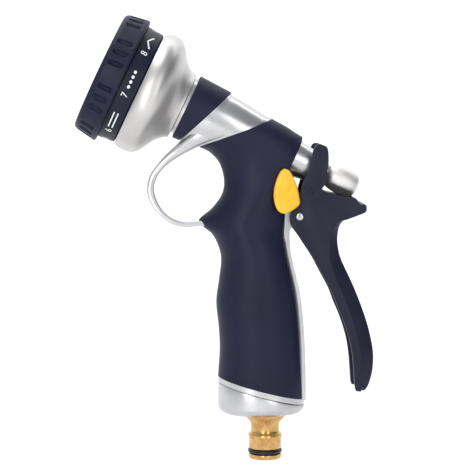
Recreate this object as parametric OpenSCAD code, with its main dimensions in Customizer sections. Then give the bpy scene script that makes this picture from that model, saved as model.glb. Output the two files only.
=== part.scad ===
// Rear-trigger hose spray nozzle with a turning pattern dial.
// Frame: origin at the tip of the hose tail, on its axis; +Z up the grip, spray leaves towards -X,
// the trigger is on the +X side, and the object is the same on both sides of Y = 0. Millimetres.

/* [Barrel] */
// Angle of the spray axis above the horizontal
barrel_tilt = 25.5; // [22:0.5:30]
// Height where the spray axis crosses the axis of the hose tail
axis_z = 149; // [120:1:180]
// Radius of the round band of bare metal behind the neck cover
band_r = 14.1; // [13:0.1:15]
// Radius of the water chamber in the barrel
chamber_r = 9; // [7:0.1:9.5]
// Thickness of the soft covers
cover_t = 1.8; // [1.4:0.1:2.3]
// Air between a soft cover and the metal under it
cover_gap = 0.1; // [0.05:0.01:0.2]

/* [Grip] */
// Width of the grip across the hand
grip_width = 33; // [27:0.5:40]
// Radius of the water way that climbs through the grip
water_way_r = 5; // [4:0.1:6]
// Thickness of the end cap's wall
cap_wall = 2; // [1.5:0.1:2.5]
// Half of the finger loop's width at its thin end
loop_half_width = 3.6; // [3:0.1:4.5]

/* [Head] */
// Distance from the spray axis down to the axis that the dial turns on
head_drop = 2; // [0:0.5:2.5]
// Outer radius of the dial's soft grip ring at its back edge
dial_r = 30.6; // [25.5:0.1:37]
// Number of spray patterns on the dial
patterns = 8; // [6:1:8]
// Running gap between the dial and the bell
dial_gap = 0.3; // [0.2:0.05:0.5]

/* [Hose tail] */
// Radius of the tail's nose
tail_r = 7.75; // [7:0.05:8.5]
// Radius of the catch groove behind the collar
tail_neck_r = 6.65; // [6:0.05:7]
// Radius of the water bore
tail_bore_r = 4.75; // [4:0.05:5.2]

/* [Valve and trigger] */
// Diameter of the valve stem
stem_d = 4; // [3.2:0.1:4.8]
// Radial running clearance of the stem and the pins
run_gap = 0.05; // [0.02:0.01:0.1]
// Diameter of the trigger's pivot pin
pivot_d = 3.6; // [3:0.1:4.4]
// Width of the trigger over both cheeks
trigger_width = 21; // [19:0.5:23]
// Thickness of each cheek
cheek_t = 2.7; // [2.2:0.1:3.2]
// Radius of the flow knob
knob_r = 6.5; // [5.4:0.1:7.2]
// Diameter of the latch's shaft
latch_shaft_d = 3.6; // [3:0.1:4.4]

/* [Hidden] */
$fn = 48;
eps = 0.01;

// ---- shared maths -------------------------------------------------------------------------------
// A point s forward along the spray axis and t above it, as [x, z].
function on_barrel(s, t) = [-cos(barrel_tilt) * s + sin(barrel_tilt) * t,
                            axis_z + sin(barrel_tilt) * s + cos(barrel_tilt) * t];
// Everything above this height keeps its place under the barrel; the grip below it stretches.
rigid_z = 100;
nominal_axis_z = 149;
cap_bottom_z = 21.5;
lift = axis_z - nominal_axis_z;
function up(z) = z >= rigid_z ? z + lift
    : cap_bottom_z + (z - cap_bottom_z) * (rigid_z + lift - cap_bottom_z) / (rigid_z - cap_bottom_z);
function up_spot(p) = [p[0], up(p[1])];
function raise(points) = [for (p = points) [p[0], up(p[1])]];
function mix(a, b, f) = a + (b - a) * f;
function power(v, e) = sign(v) * pow(abs(v), e);
// Catmull-Rom curve through rows of numbers.
function blend_row(rows, i, f) =
    let (n = len(rows) - 1, a = rows[max(i - 1, 0)], b = rows[i], c = rows[min(i + 1, n)],
        d = rows[min(i + 2, n)])
    0.5 * (2 * b + (c - a) * f + (2 * a - 5 * b + 4 * c - d) * f * f + (3 * b - a - 3 * c + d) * f * f * f);
function smooth_rows(rows, steps) =
    [for (i = [0 : len(rows) - 2]) for (k = [0 : steps - 1]) blend_row(rows, i, k / steps),
        rows[len(rows) - 1]];

// A station is [front x, front z, rear x, rear z, half width, roundness of the front half].
// Its ring starts at the front point, goes round the -Y side to the rear point and back.
section_middle = 0.48;
rear_roundness = 2.1;
function ring(st, sides, inset) =
    let (front = [st[0], st[1]], rear = [st[2], st[3]], chord = rear - front, u = chord / norm(chord),
         middle = front + chord * section_middle,
         ahead = norm(chord) * section_middle - inset, behind = norm(chord) * (1 - section_middle) - inset)
    [for (k = [0 : sides - 1])
        let (a = 360 * k / sides, n = cos(a) > 0 ? st[5] : rear_roundness,
             along = cos(a) > 0 ? -ahead * power(cos(a), 2 / n) : -behind * power(cos(a), 2 / n),
             across = -(st[4] - inset) * power(sin(a), 2 / n), p = middle + u * along)
        [p[0], across, p[1]]];

// Solid between the rings of a list of stations.
module loft(stations, sides, inset = 0) {
    points = [for (st = stations) each ring(st, sides, inset)];
    last = len(stations) - 1;
    polyhedron(points, concat(
        [[for (k = [sides - 1 : -1 : 0]) k]],
        [for (i = [0 : last - 1]) for (k = [0 : sides - 1]) let (a = i * sides + k,
            b = i * sides + (k + 1) % sides)
            each [[a, b, a + sides], [b, b + sides, a + sides]]],
        [[for (k = [0 : sides - 1]) last * sides + k]]));
}

// Tube between an outer and an inner set of rings.
module loft_tube(stations, sides, outer_inset, inner_inset) {
    points = concat([for (st = stations) each ring(st, sides, outer_inset)],
                    [for (st = stations) each ring(st, sides, inner_inset)]);
    last = len(stations) - 1;
    inner = len(stations) * sides;
    polyhedron(points, concat(
        [for (i = [0 : last - 1]) for (k = [0 : sides - 1]) let (a = i * sides + k,
            b = i * sides + (k + 1) % sides)
            each [[a, b, a + sides], [b, b + sides, a + sides],
                  [inner + a, inner + a + sides, inner + b], [inner + b, inner + a + sides,
                      inner + b + sides]]],
        [for (k = [0 : sides - 1]) let (b = (k + 1) % sides)
            each [[k, inner + k, b], [b, inner + k, inner + b]]],
        [for (k = [0 : sides - 1]) let (a = last * sides + k, b = last * sides + (k + 1) % sides)
            each [[a, b, inner + a], [b, inner + b, inner + a]]]));
}

// Local +Z runs forward along the spray axis and local +X points up from it, shifted by t.
module along_barrel(t = 0) translate([0, 0, axis_z]) rotate([0, barrel_tilt - 90, 0])
    translate([t, 0, 0]) children();
module along_head() along_barrel(-head_drop) children();
// A turned part from [radius, s] points.
module turned(points, fragments = 96) rotate_extrude($fn = fragments) polygon(points);
// A plate in the XZ plane with its middle at Y = 0.
module plate(width) rotate([90, 0, 0]) linear_extrude(width, center = true) children();
module at_xz(p, y = 0) translate([p[0], y, p[1]]) children();
// A cylinder along Y, from y to y + length.
module pin_y(r, y, length) translate([0, y + length, 0]) rotate([90, 0, 0]) cylinder(r = r, h = length);
module cylinder_at(r, z0, z1) translate([0, 0, z0]) cylinder(r = r, h = z1 - z0);
// A ring of round section about Z.
module o_ring(centre_r, wire_r) rotate_extrude($fn = 96) translate([centre_r, 0]) circle(wire_r);

// ---- shared places ------------------------------------------------------------------------------
lug_half = trigger_width / 2 - cheek_t - 0.4;
pivot_s = -28.2;
pivot_t = -23.3;
pivot = on_barrel(pivot_s, pivot_t);
latch_pivot = [11.6, 122 + lift];
latch_t = 3;

// Radius of the bare barrel at s, and of the metal under the covers.
function barrel_r(s) = s > 21 ? band_r + (s - 21) * 0.03 : band_r - (21 - s) * 0.111;
function core_r(s) = s > 21 ? band_r - 0.2 + (s - 21) * 0.015 : barrel_r(s) - (s > 3 ? 0 : 1.6);

// Where the neck cover ends: a straight slanting cut, and where the grip cover starts.
neck_cut = [on_barrel(24.2, 16.5), on_barrel(37.6, -16.5)];
grip_cut = [on_barrel(2.3, 12.4), on_barrel(28.4, -14.5)];
neck_reach = 30 * (neck_cut[0] - neck_cut[1]) / norm(neck_cut[0] - neck_cut[1]);
collar_s = -14.4;
collar_end_s = -20.8;

// Outer shape of the grip from the grip cover's top edge to the slanting cut over the end cap.
width_scale = grip_width / 33;
grip_stations = [for (st = [
    [-31.0, 147.7,  3.1, 161.0, 14.0, 2.0],
    [-26.2, 145.4, 12.5, 155.6, 13.2, 2.0],
    [-21.6, 140.2, 21.0, 148.0, 12.4, 2.0],
    [-19.5, 132.2, 20.0, 133.0, 12.6, 2.0],
    [-20.6, 125.6, 11.4, 123.5, 13.4, 2.0],
    [-25.2, 119.2, 11.2, 116.8, 14.2, 1.8],
    [-31.0, 114.2, 11.0, 111.0, 14.8, 1.5],
    [-30.2, 111.2, 10.7, 106.6, 15.2, 1.5],
    [-24.4, 106.0, 11.1, 100.2, 15.6, 1.8],
    [-21.0,  96.5, 12.6,  92.5, 15.8, 2.0],
    [-21.9,  85.5, 15.4,  81.0, 16.1, 2.1],
    [-23.2,  75.0, 16.9,  70.0, 16.4, 2.1],
    [-22.0,  62.5, 17.9,  57.0, 16.5, 2.1],
    [-21.6,  52.0, 18.4,  44.0, 16.5, 2.1],
    [-22.4,  39.6, 18.6,  28.6, 16.5, 2.1]])
    [st[0], up(st[1]), st[2], up(st[3]),
     max(st[4] * width_scale, st[1] > 130 ? barrel_r(3) + 0.5 : 0), st[5]]];
latch_face_y = max(12.6 * width_scale, barrel_r(3) + 0.5, trigger_width / 2 + 1.9) + 0.4;
grip_sides = 24;
grip_rings = smooth_rows(grip_stations, 2);
// The hollow of the grip, which fills with water.
wall = 2.3;
hollow_rings = let (st = grip_stations[14], low = [st[0], st[1] + 3, st[2], st[3] + 3, st[4], st[5]])
    smooth_rows([for (i = [8 : 14]) i < 14 ? grip_stations[i] : low], 2);
// The bare metal lip under the grip cover, then the end cap with its rounded bottom.
lip_drop = 2.6;
lip_rings = [for (f = [0, 1]) let (st = grip_stations[len(grip_stations) - 1])
    [st[0], st[1] - lip_drop * f, st[2], st[3] - lip_drop * f, st[4], st[5]]];
cap_seam = 0.3;
cap_rings = let (st = lip_rings[1], top = [st[0] + 0.1, st[1] - cap_seam, st[2] - 0.1, st[3] - cap_seam,
    st[4] - 0.1, st[5]])
    [for (k = [0 : 6]) let (a = 90 * k / 6, pull = 6 * (1 - cos(a)), f = sin(a))
        [top[0] + pull, mix(mix(top[1], cap_bottom_z + 4, min(k, 1)), cap_bottom_z, k < 1 ? 0 : f),
         top[2] - pull, mix(mix(top[3], cap_bottom_z + 4, min(k, 1) * 0.3), cap_bottom_z, k < 1 ? 0 : f),
         top[4] - pull, top[5]]];

// Rear edge of the grip cover in side view: the flat end round the collar, then the edge beside the spine.
cover_rear = concat([on_barrel(collar_s, 40), on_barrel(collar_s, -9.6)],
    raise([[8.5, 126], [8.6, 117], [8.0, 109.6], [8.8, 101.6], [10.3, 93.5], [12.2, 85], [14.0, 77],
           [15.4, 68.5], [16.2, 58.6], [16.6, 50], [17.1, 41], [17.8, 28]]));
cover_rear_region = concat(cover_rear, [[17.8, -10], [90, -10], [90, axis_z + 60]]);

// Finger loop: [outer x, outer z, inner x, inner z, half width, roundness].
loop_stations = [for (st = [
    [-36.5, 155.0, -25.5, 151.0, 2.4, 2.6],
    [-41.2, 150.2, -34.0, 148.4, 2.0, 2.6],
    [-46.3, 145.3, -41.2, 144.0, 1.6, 2.6],
    [-50.9, 139.6, -47.2, 139.2, 1.3, 2.6],
    [-54.2, 131.5, -51.3, 131.4, 1.1, 2.6],
    [-53.9, 122.4, -51.1, 123.2, 1.0, 2.6],
    [-50.2, 115.8, -48.1, 118.0, 1.0, 2.6],
    [-44.4, 111.8, -43.3, 114.5, 1.0, 2.6],
    [-38.0, 110.4, -38.0, 113.1, 1.0, 2.6],
    [-31.5, 110.9, -31.5, 113.9, 1.0, 2.6],
    [-25.0, 110.6, -25.0, 114.2, 1.0, 2.6]])
    [st[0], st[1] + lift, st[2], st[3] + lift, st[4] * loop_half_width, st[5]]];

// ---- body ---------------------------------------------------------------------------------------
spigot_r = 12;
spigot_end_s = 52;
seat_s = 38;
bush_r = 6;
bush_s = -12;
boss_r = 12;
boss_z = cap_bottom_z + cap_wall + 1.4;
thread_r = 8.9;
thread_top_z = 38;
water_foot = up_spot([-3, 98]);
water_head = on_barrel(12, -4);
lug = concat([up_spot([4, 129]), up_spot([11, 128]), up_spot([14.4, 125]), up_spot([16.6, 120.8])],
    [for (a = [50 : -20 : -130]) pivot + 4.4 * [cos(a), sin(a)]], [up_spot([9, 104]), up_spot([4, 104])]);
band = [neck_cut[0] + neck_reach, neck_cut[1], grip_cut[1] + [-8, -3],
        grip_cut[1], grip_cut[0], grip_cut[0] + [30, 11.8]];
core_profile = [[0, collar_end_s], [7.4, collar_end_s], [core_r(collar_s), collar_s], [core_r(3), 3],
    [core_r(3) + 0.1, 3],
    [core_r(21), 21], [core_r(41), 41], [13.9, 41.2], [13.9, 42.6], [spigot_r, 42.7],
        [spigot_r, spigot_end_s],
    [0, spigot_end_s]];

module bore_from_foot() let (d = water_head - water_foot)
    at_xz(water_foot) rotate([0, atan2(d[0], d[1]), 0]) cylinder(r = water_way_r, h = norm(d));

// The side of the grip that is cut away round the rear collar, over the lug.
rear_cut = [on_barrel(collar_s - 0.1, 60), on_barrel(collar_s - 0.1, -9.7), up_spot([11.4, 126.5]),
    up_spot([40, 126.5]),
            [90, axis_z + 60]];

module grip_core() difference() {
    union() {
        loft(grip_rings, grip_sides, cover_t + cover_gap);
        intersection() {
            loft(grip_rings, grip_sides, 0.3);
            plate(60) difference() {
                translate([cover_gap, 0]) polygon(cover_rear_region);
                polygon(rear_cut);
            }
        }
        loft(lip_rings, grip_sides, 0.15);
    }
    loft(hollow_rings, grip_sides, cover_t + cover_gap + wall);
    plate(60) polygon(rear_cut);
}

module bare_band() intersection() {
    along_barrel() turned([[0, -6], [barrel_r(-6), -6], [barrel_r(21), 21], [barrel_r(40), 40], [0, 40]],
        56);
    plate(60) polygon(band);
}

module body_bores() {
    cylinder(r = water_way_r, h = 60);
    cylinder(r = thread_r + 0.1, h = thread_top_z + 3);
    bore_from_foot();
    along_barrel() {
        cylinder_at(chamber_r, 4, seat_s);
        cylinder_at(chamber_r - 1.5, seat_s - 1, seat_s + 2);
        cylinder_at(chamber_r + 0.1, seat_s + 1, spigot_end_s + 10);
        cylinder_at(bush_r, bush_s, 6);
        cylinder_at(4.2, collar_end_s - 1, bush_s + 3);
    }
    at_xz(pivot) pin_y(pivot_d / 2 + run_gap, -20, 40);
    at_xz(latch_pivot) pin_y(latch_shaft_d / 2 + run_gap, -20, 40);
}

module body_casting() color([0.72, 0.71, 0.69]) difference() {
    union() {
        grip_core();
        along_barrel() turned(core_profile, 56);
        bare_band();
        loft(smooth_rows(loop_stations, 2), 12);
        translate([0, 0, boss_z]) cylinder(r = boss_r, h = 44 - boss_z, $fn = 12);
        plate(2 * lug_half) polygon(lug);
    }
    body_bores();
}

module neck_cover() color([0.11, 0.11, 0.17]) difference() {
    along_barrel() turned([[core_r(41) + cover_gap, 41], [core_r(41) + cover_t, 41],
        [core_r(23) + cover_t - 0.7, 20], [core_r(23) + cover_gap, 20]]);
    plate(60) translate([-cover_gap, cover_gap]) polygon([neck_cut[1] - neck_reach,
        neck_cut[0] + neck_reach,
        [60, neck_cut[0][1]], [60, 100], [neck_cut[1][0] - 20, 100]]);
}

module grip_cover() color([0.11, 0.11, 0.17]) difference() {
    loft_tube(grip_rings, grip_sides, 0, cover_t);
    plate(60) polygon(cover_rear_region);
    // Slots where the pivot lug and the foot of the finger loop pass through the cover.
    plate(2 * (lug_half + cover_gap)) polygon([up_spot([3.9, 129.3]), up_spot([22, 129.3]),
        up_spot([22, 103.8]), up_spot([3.9, 103.8])]);
    plate(2 * (loop_half_width + cover_gap)) polygon([up_spot([-40, 110.2]), up_spot([-40, 114.1]),
        up_spot([-24, 114.5]), up_spot([-24, 110.2])]);
    along_barrel() turned([for (p = core_profile) p[0] > 0 ? [p[0] + cover_gap, p[1]] : p]);
    intersection() {
        along_barrel() turned([[0, -7], [barrel_r(-6) + 0.1, -7], [barrel_r(21) + 0.1, 21],
            [barrel_r(40) + 0.1, 40], [0, 40]]);
        plate(60) translate([0, -0.1]) polygon(band);
    }
}

module end_cap() color([0.72, 0.71, 0.69]) difference() {
    loft(cap_rings, grip_sides);
    union() {
        translate([0, 0, cap_wall]) loft(cap_rings, grip_sides, cap_wall);
        translate([0, 0, 10]) cylinder(r = thread_r + 0.15, h = 14);
    }
}

// ---- hose tail ----------------------------------------------------------------------------------
tail_flange_z = cap_bottom_z - 0.05;
module tail_connector() color([0.83, 0.64, 0.32]) turned([
    [tail_bore_r, 0], [tail_r - 0.5, 0], [tail_r - 0.15, 0.12], [tail_r, 0.45], [tail_r, 2.2], [5.85, 2.25],
    [5.85, 4.85], [tail_r - 0.15, 4.9], [tail_r - 0.15, 9.6], [tail_r + 0.15, 10.3], [tail_r + 0.15, 11.6],
    [tail_neck_r, 12.7], [tail_neck_r, 16.2], [tail_neck_r + 0.6, 17.6], [9.4, 20], [9.9, 20.3],
        [9.9, tail_flange_z],
    [thread_r, tail_flange_z + eps], [thread_r, thread_top_z], [tail_bore_r, thread_top_z]]);
module tail_o_ring() color([0.06, 0.06, 0.07]) translate([0, 0, 3.55]) o_ring(tail_r - 0.75, 1.1);
module inlet_filter() color([0.8, 0.8, 0.78]) difference() {
    translate([0, 0, thread_top_z]) union() {
        cylinder(r = thread_r - 0.3, h = 0.8);
        cylinder(r = water_way_r - 0.5, h = 9);
    }
    translate([0, 0, thread_top_z - 1]) cylinder(r = water_way_r - 1.2, h = 9.2);
    for (i = [0 : 5]) rotate(i * 30) translate([-8, -0.5, thread_top_z + 1.8]) cube([16, 1, 5.4]);
}
module inlet_washer() color([0.1, 0.1, 0.1]) translate([0, 0, thread_top_z + 0.8]) difference() {
    cylinder(r = thread_r, h = 2.15);
    translate([0, 0, -1]) cylinder(r = water_way_r - 0.4, h = 5);
}

// ---- head ---------------------------------------------------------------------------------------
// Bell rings: [s, radius, t of the centre].
bell_rows = [[42.9, 16.3, -0.3], [44.6, 17.0, -0.7], [46.5, 18.8, -1.3], [49.4, 20.7, -1.5],
    [51.2, 23.2, -1.8],
             [52.8, 25.6, -1.9], [54.4, 27.1, -2.0], [56.4, 27.9, -2.0], [60.4, 28.05, -2.0],
                 [64.3, 27.7, -2.0]];
bell_scale = (dial_r - 30.6) / 30.6;
bell_wall = 1.5;
bell_sides = 56;
function bell_ring(row, inset) = [for (k = [0 : bell_sides - 1])
    let (r = row[1] * (1 + bell_scale * min(1, max(0, (row[0] - 46) / 8))) - inset,
        a = 360 * k / bell_sides,
         shift = mix(0, row[2] + 2 - head_drop, min(1, max(0, (row[0] - 42) / 4))))
    [shift + r * cos(a), r * sin(a), row[0]]];
module head_bell() color([0.72, 0.72, 0.71]) along_barrel() {
    n = bell_sides;
    last = len(bell_rows) - 1;
    inner = len(bell_rows) * n;
    polyhedron(concat([for (r = bell_rows) each bell_ring(r, 0)], [for (r = bell_rows) each bell_ring(r,
        bell_wall)]), concat(
        [for (i = [0 : last - 1]) for (k = [0 : n - 1]) let (a = i * n + k, b = i * n + (k + 1) % n)
            each [[a, a + n, b], [b, a + n, b + n], [inner + a, inner + b, inner + a + n],
                [inner + b, inner + b + n, inner + a + n]]],
        [for (k = [0 : n - 1]) let (b = (k + 1) % n) each [[k, b, inner + k], [b, inner + b, inner + k]]],
        [for (k = [0 : n - 1]) let (a = last * n + k, b = last * n + (k + 1) % n)
            each [[a, inner + a, b], [b, inner + a, inner + b]]]));
    difference() {
        translate([0, 0, 42.9]) cylinder(r = 15.4, h = 1.9);
        translate([0, 0, 40]) cylinder(r = spigot_r + 0.1, h = 10);
    }
}

head_s = 62;
dial_scale = dial_r / 30.6;
port_r = 16 * dial_scale;
plate_r = 26.2 * dial_scale - 0.3;
pitch = 360 / patterns;
module head_manifold() color([0.16, 0.16, 0.18]) difference() {
    union() {
        along_barrel() {
            translate([0, 0, 43.1]) cylinder(r = chamber_r + 0.05, h = 12);
            translate([0, 0, 44.9]) cylinder(r = 14.6, h = 8);
        }
        along_head() {
            translate([0, 0, spigot_end_s + 0.1]) cylinder(r = 21.2, h = 3);
            translate([0, 0, 54.6]) cylinder(r = 24 * dial_scale, h = head_s - 54.7);
            cylinder_at(5, head_s - 1, 77);
        }
    }
    along_barrel() {
        difference() {
            translate([0, 0, 44.8]) cylinder(r = spigot_r + 0.1, h = spigot_end_s - 44.7);
            translate([0, 0, 40]) cylinder(r = chamber_r + 0.05, h = 20);
        }
        translate([0, 0, 46.5]) difference() {
            cylinder(r = 12, h = 2.4);
            translate([0, 0, -1]) cylinder(r = chamber_r - 1.6, h = 5);
        }
        translate([0, 0, 40]) cylinder(r = 5.5, h = 16.5);
        translate([-3, -3, 52.5]) cube([port_r - head_drop + 3, 6, 4]);
    }
    along_head() {
        translate([port_r, 0, 52.5]) cylinder(r = 3.2, h = 20);
        translate([port_r, 0, head_s - 2.2]) cylinder(r = 4.7, h = 5);
        rotate(180) translate([port_r + 3.5, 0, head_s - 6]) cylinder(r = 1.75, h = 10);
        cylinder_at(1.6, 66, 80);
    }
}
module manifold_o_ring() color([0.06, 0.06, 0.07]) along_barrel() translate([0, 0, 47.7])
    o_ring(chamber_r - 0.75, 0.8);
module port_seal() color([0.06, 0.06, 0.07]) along_head() translate([port_r, 0, head_s - 2.15])
    difference() {
    cylinder(r = 4.6, h = 2.05);
    translate([0, 0, -1]) cylinder(r = 3, h = 5);
}
ball_r = 1.6;
module detent_ball() color([0.8, 0.8, 0.8]) along_head() rotate(180)
    translate([port_r + 3.5, 0, head_s - 0.1 - ball_r + 0.02]) sphere(ball_r);
module detent_spring() color([0.7, 0.7, 0.7]) along_head() rotate(180)
    translate([port_r + 3.5, 0, 0]) coil(head_s - 5.95, head_s - 0.15 - 2 * ball_r, 1.25, 0.22, 4);
module dial_screw() color([0.75, 0.75, 0.75]) along_head() difference() {
    union() {
        cylinder_at(1.55, 66.3, 78);
        cylinder_at(6.6, 77.05, 79.2);
    }
    translate([-4, -0.6, 78.2]) cube([8, 1.2, 3]);
    translate([-0.6, -4, 78.2]) cube([1.2, 8, 3]);
}

// ---- dial, which turns about the head axis ------------------------------------------------------
ring_r = 27.5 * dial_scale;
pocket_r = min(5.1, port_r * sin(pitch / 2) - 0.9);
face_s = 79.6;
module at_patterns(r) for (i = [0 : patterns - 1]) rotate(i * pitch) translate([r, 0, 0]) children();
module dial_body() color([0.12, 0.12, 0.17]) along_head() difference() {
    turned([[5.1, head_s], [bell_inner - dial_gap, head_s], [bell_inner - dial_gap, 64.3 + dial_gap],
        [ring_r - 0.4, 64.3 + dial_gap], [ring_r - 0.1, 65.2], [ring_r + 0.5, 72.6], [plate_r, 72.65],
        [plate_r, 79], [7.6, 79], [7.6, 77], [5.1, 77]]);
    at_patterns(port_r) {
        translate([0, 0, head_s - 1]) cylinder(r = 3, h = 8);
        translate([0, 0, 66]) cylinder(r = pocket_r, h = 20);
    }
    rotate(180) at_patterns(port_r + 3.5 + 2.6) translate([0, 0, head_s]) sphere(0.9);
}
bell_inner = 26.4 * (1 + bell_scale) - 0.3;
module dial_gasket() color([0.06, 0.06, 0.07]) along_head() difference() {
    cylinder_at(plate_r - 0.1, 79, face_s);
    cylinder_at(8, 70, 90);
    at_patterns(port_r) cylinder_at(pocket_r - 0.3, 70, 90);
}
insert_r = 3.6;
cap_r = 7;
face_top_s = 82.9;
module dial_face() color([0.1, 0.1, 0.13]) along_head() difference() {
    cylinder_at(plate_r, face_s, face_top_s);
    cylinder_at(cap_r + 0.05, 70, 90);
    for (i = [0 : patterns - 1]) rotate(i * pitch) translate([port_r, 0, 0]) {
        if (i % 4 == 0 || i == 2 || i == 3) cylinder_at(insert_r, 70, 90);
        if (i == 1) for (k = [0 : 5]) rotate(k * 60) translate([3, 0, 0]) cylinder_at(0.6, 70, 90);
        if (i == 1) cylinder_at(0.6, 70, 90);
        if (i == 5) translate([-3.6, -0.5, 70]) cube([7.2, 1, 20]);
        if (i == 6) for (k = [0 : 3]) rotate(45 + k * 90) translate([2.4, 0, 0]) cylinder_at(1, 70, 90);
        if (i == 7) for (k = [-1, 1]) rotate(k * 60) translate([-3.4, -0.45, 70]) cube([3.6, 0.9, 20]);
    }
}
module insert_body(i) along_head() rotate(i * pitch) translate([port_r, 0, 0]) children();
module jet_insert() color([0.83, 0.64, 0.32]) insert_body(0) turned([[1.4, face_s + 0.4],
    [insert_r - 0.05, face_s + 0.4],
    [insert_r - 0.05, face_top_s + 0.4], [2.6, face_top_s + 1], [1.4, face_top_s + 1]]);
module cone_insert() color([0.83, 0.64, 0.32]) insert_body(2) {
    turned([[2.3, face_s + 0.4], [insert_r - 0.05, face_s + 0.4], [insert_r - 0.05, face_top_s + 0.5],
        [2.9, face_top_s + 0.5]]);
    turned([[0, face_s + 0.4], [0.8, face_s + 0.4], [1.5, face_top_s], [1.2, face_top_s + 0.6],
        [0, face_top_s + 0.6]]);
    difference() {
        cylinder_at(3, face_s + 0.4, face_s + 1);
        for (k = [0 : 3]) rotate(k * 90) translate([1.6, 0, 0]) cylinder_at(0.6, 70, 90);
    }
}
module mist_insert() color([0.83, 0.64, 0.32]) insert_body(3) turned([[0.5, face_s + 0.4],
    [insert_r - 0.05, face_s + 0.4],
    [insert_r - 0.05, face_top_s + 0.4], [1.8, face_top_s + 0.4], [0.5, face_top_s - 0.4]]);
module screw_cap() color([0.1, 0.1, 0.13]) along_head() turned([[0, 79.5], [cap_r, 79.5],
    [cap_r, face_top_s],
    [cap_r - 0.8, face_top_s + 0.8], [0, face_top_s + 1.2]]);
module dial_grip_ring() color([0.12, 0.12, 0.17]) along_head() difference() {
    turned([[plate_r + 0.05, 72.7], [dial_r - 0.7, 72.7], [dial_r, 73.5], [dial_r - 1.5, 82.6],
        [dial_r - 2.2, 84.2], [dial_r - 2.9, 84.5],
        [plate_r - 1, 84.5], [plate_r - 1, face_top_s + 0.05], [plate_r + 0.05, face_top_s + 0.05]]);
    for (i = [0 : patterns - 1]) for (k = [-1 : 1]) rotate((i + 0.5) * pitch + k * 7.5)
        translate([dial_r + 0.4, 0, 75])
        rotate([0, -9.5, 0]) cylinder(r = 1.3, h = 14);
}

// A round-wire spring along local Z from z0 to z1.
module coil(z0, z1, mean_r, wire, turns) {
    sides = 8;
    steps = turns * 14;
    // The end turns lie flat.
    function rise(u) = u < 1 ? 0.8 * wire * u * 2.5
        : u > turns - 1 ? z1 - z0 - 2 * wire - 2 * wire * (turns - u)
        : 2 * wire + (z1 - z0 - 6 * wire) * (u - 1) / (turns - 2);
    points = [for (i = [0 : steps]) for (k = [0 : sides - 1]) let (u = i * turns / steps, a = 360 * u,
        b = 360 * k / sides)
        [(mean_r + wire * cos(b)) * cos(a), (mean_r + wire * cos(b)) * sin(a),
            z0 + wire + rise(u) + wire * sin(b)]];
    polyhedron(points, concat([[for (k = [sides - 1 : -1 : 0]) k]],
        [for (i = [0 : steps - 1]) for (k = [0 : sides - 1]) let (a = i * sides + k,
            b = i * sides + (k + 1) % sides)
            each [[a, b, a + sides], [b, b + sides, a + sides]]],
        [[for (k = [0 : sides - 1]) steps * sides + k]]));
}

// ---- valve --------------------------------------------------------------------------------------
stem_r = stem_d / 2;
bush_flange_s = 5.5;
plug_s = 31;
seal_s = 36;
seal_face_s = seat_s - 0.1;
seat_bore_r = 5.2;
knob_s = -31.6;
knob_end_s = -47.7;
module valve_seat() color([0.83, 0.64, 0.32]) along_barrel() turned([[seat_bore_r, seat_s], [7.3, seat_s],
    [7.4, seat_s + 1.05], [chamber_r + 0.05, seat_s + 1.05], [chamber_r + 0.05, 43], [seat_bore_r, 43]]);
module stem_bush() color([0.83, 0.64, 0.32]) along_barrel() turned([[stem_r + run_gap, bush_s + 0.1],
    [bush_r - 0.05, bush_s + 0.1], [bush_r - 0.05, 4.05], [chamber_r - 0.2, 4.05], [chamber_r - 0.2,
        bush_flange_s],
    [4.6, bush_flange_s], [4.6, 9], [stem_r + run_gap, 9], [stem_r + run_gap, 0], [stem_r + 1.75, 0],
        [stem_r + 1.75, -1.9],
    [stem_r + run_gap, -1.9], [stem_r + run_gap, -6], [stem_r + 1.75, -6], [stem_r + 1.75, -7.9],
        [stem_r + run_gap, -7.9]]);
module stem_o_rings() color([0.06, 0.06, 0.07]) along_barrel() for (z = [-0.95, -6.95]) translate([0, 0, z])
    o_ring(stem_r + run_gap + 0.83, 0.82);
module stem_wiper() color([0.06, 0.06, 0.07]) along_barrel() turned([[stem_r + run_gap, collar_end_s + 0.4],
    [4.15, collar_end_s + 0.4], [4.15, bush_s], [stem_r + run_gap, bush_s]]);
module valve_stem() color([0.78, 0.78, 0.78]) along_barrel() cylinder_at(stem_r, knob_end_s + 4, 40.6);
module spring_clip() color([0.7, 0.7, 0.7]) along_barrel() turned([[stem_r, plug_s - 0.8],
    [stem_r + 2, plug_s - 0.8],
    [stem_r + 2, plug_s], [stem_r, plug_s]]);
module valve_plug() color([0.83, 0.64, 0.32]) along_barrel() turned([[stem_r, plug_s], [4.8, plug_s],
    [5, 33], [7.7, 33],
    [7.7, seal_s], [stem_r, seal_s]]);
module valve_seal() color([0.06, 0.06, 0.07]) along_barrel() turned([[stem_r, seal_s], [7, seal_s],
    [7, seal_face_s],
    [stem_r, seal_face_s]]);
module plug_nut() color([0.83, 0.64, 0.32]) along_barrel() difference() {
    translate([0, 0, seal_face_s]) cylinder(r = 4, h = 2.4, $fn = 6);
    translate([0, 0, seal_face_s - 1]) cylinder(r = stem_r, h = 5);
}
module return_spring() color([0.7, 0.7, 0.7]) along_barrel() coil(bush_flange_s + 0.05, 32.95, 6.3, 0.6, 7);
module thrust_washer() color([0.83, 0.64, 0.32]) along_barrel() turned([[stem_r, knob_s], [4.6, knob_s],
    [4.6, knob_s + 0.7],
    [stem_r, knob_s + 0.7]]);
insert_knob_r = 3.6;
module knob_insert() color([0.83, 0.64, 0.32]) along_barrel() turned([[stem_r, knob_s - 13],
    [insert_knob_r, knob_s - 13],
    [insert_knob_r, knob_s], [stem_r, knob_s]]);
knob_profile = [[0, -16.1], [2.6, -16], [4.5, -15.2], [5.8, -13.6], [6.4, -10.6], [6.5, -7], [5.9, -3.6],
    [4.6, -1.2], [3.65, -0.4]];
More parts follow.
